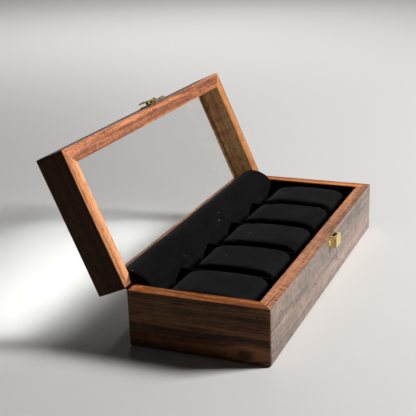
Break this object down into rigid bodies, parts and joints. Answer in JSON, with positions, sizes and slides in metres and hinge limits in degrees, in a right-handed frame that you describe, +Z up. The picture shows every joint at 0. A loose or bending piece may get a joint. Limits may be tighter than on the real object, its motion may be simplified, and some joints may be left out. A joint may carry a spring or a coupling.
{
  "type": "glasses organizer box",
  "caption": "Long wooden display box with a hinged glass lid, velvet-lined compartments, loose domed velvet cushions and a brass swing latch.",
  "frame": {"origin": "middle of the base's underside", "axes": "+X along the box's length, -Y towards the front with the latch, +Z up; the lid is open at rest"},
  "size_m": [0.32, 0.1954, 0.1626],
  "materials": {
    "base_wood": "oiled dark brown rosewood with an orange-brown rim, satin",
    "lid_wood": "oiled rosewood, orange-brown with darker streaks, satin",
    "bottom_panel": "dark stained ply, matt",
    "lining_velvet": "black short-pile velvet",
    "cushion_velvet": "black short-pile velvet, padded",
    "brass": "polished brass plate",
    "glass": "clear float glass"
  },
  "bodies": {
    "base": {"base_front_board": "base_wood", "base_back_board": "base_wood", "base_left_board": "base_wood", "base_right_board": "base_wood", "base_bottom_panel": "bottom_panel", "floor_lining": "lining_velvet", "front_lining": "lining_velvet", "left_lining": "lining_velvet", "right_lining": "lining_velvet", "divider_1": "lining_velvet", "divider_2": "lining_velvet", "divider_3": "lining_velvet", "divider_4": "lining_velvet", "hinge_lining": "lining_velvet", "hinge_base_leaf_left": "brass", "hinge_base_leaf_right": "brass", "hinge_pins": "brass", "hinge_base_screws": "brass", "catch_box": "brass", "catch_pin": "brass", "catch_screws": "brass"},
    "lid": {"lid_front_rail": "lid_wood", "lid_back_rail": "lid_wood", "lid_left_rail": "lid_wood", "lid_right_rail": "lid_wood", "glass_pane": "glass", "hinge_lid_leaf_left": "brass", "hinge_lid_leaf_right": "brass", "hinge_lid_screws": "brass", "latch_plate": "brass", "latch_pin": "brass", "latch_screws": "brass"},
    "latch_lever": {"latch_lever": "brass"},
    "cushion_1": {"cushion_1": "cushion_velvet"},
    "cushion_2": {"cushion_2": "cushion_velvet"},
    "cushion_3": {"cushion_3": "cushion_velvet"},
    "cushion_4": {"cushion_4": "cushion_velvet"},
    "cushion_5": {"cushion_5": "cushion_velvet"}
  },
  "joints": [
    {"name": "lid_hinge", "type": "hinge", "parent": "base", "child": "lid", "pos_m": [0, 0.0594, 0.04765], "axis": [-1, 0, 0], "range_deg": [-113.5, 0], "deforming": ["hinge_lining"]},
    {"name": "latch_swing", "type": "hinge", "parent": "lid", "child": "latch_lever", "pos_m": [0.0095, 0.11161, 0.15733], "axis": [1, 0, 0], "range_deg": [-7, 3]},
    {"name": "cushion_1_lift", "type": "slide", "parent": "base", "child": "cushion_1", "axis": [0, 0, 1], "range_m": [0, 0.045]},
    {"name": "cushion_2_lift", "type": "slide", "parent": "base", "child": "cushion_2", "axis": [0, 0, 1], "range_m": [0, 0.045]},
    {"name": "cushion_3_lift", "type": "slide", "parent": "base", "child": "cushion_3", "axis": [0, 0, 1], "range_m": [0, 0.045]},
    {"name": "cushion_4_lift", "type": "slide", "parent": "base", "child": "cushion_4", "axis": [0, 0, 1], "range_m": [0, 0.045]},
    {"name": "cushion_5_lift", "type": "slide", "parent": "base", "child": "cushion_5", "axis": [0, 0, 1], "range_m": [0, 0.045]}
  ]
}
